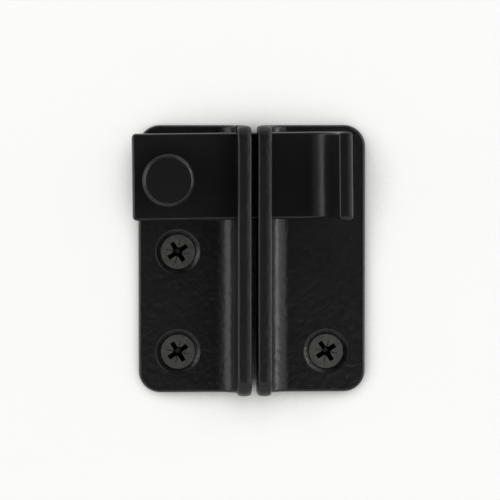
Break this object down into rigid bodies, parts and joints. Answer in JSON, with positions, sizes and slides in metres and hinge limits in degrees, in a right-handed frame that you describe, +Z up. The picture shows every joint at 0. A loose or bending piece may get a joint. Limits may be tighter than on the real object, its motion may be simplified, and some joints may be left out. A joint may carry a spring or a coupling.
{
  "type": "flip latch",
  "caption": "Black flip latch for cupboard doors: a flat bar with a curled finger pull turns on a knob and drops into open notches in the flanges of bent brackets",
  "frame": {"origin": "on the door face, midway between the left bracket's two screws", "axes": "+Z up, +X to the right across the two doors, +Y into the doors; the bar turns about an axis along Y, and the viewer stands at -Y"},
  "size_m": [0.0542, 0.0321, 0.062],
  "materials": {
    "bracket_coat": "satin black powder coat on steel, with a fine orange peel",
    "bar_coat": "satin black powder coat on steel, smooth",
    "dark_screw": "dark grey plated steel",
    "zinc_steel": "zinc-plated steel",
    "spring_steel": "spring steel",
    "nylon": "black nylon"
  },
  "bodies": {
    "brackets": {"left_bracket": "bracket_coat", "right_bracket": "bracket_coat", "pivot_knob": "bar_coat", "front_washer": "nylon", "disc_spring": "spring_steel", "pivot_spacer": "nylon", "pivot_screw": "zinc_steel", "screw_left_upper": "dark_screw", "screw_left_lower": "dark_screw", "screw_right_upper": "dark_screw", "screw_right_lower": "dark_screw"},
    "bar": {"latch_bar": "bar_coat"}
  },
  "joints": [
    {"name": "bar_flip", "type": "hinge", "parent": "brackets", "child": "bar", "pos_m": [-0.0024, -0.0083, 0.0285], "axis": [0, -1, 0], "range_deg": [-0.6, 274]}
  ]
}
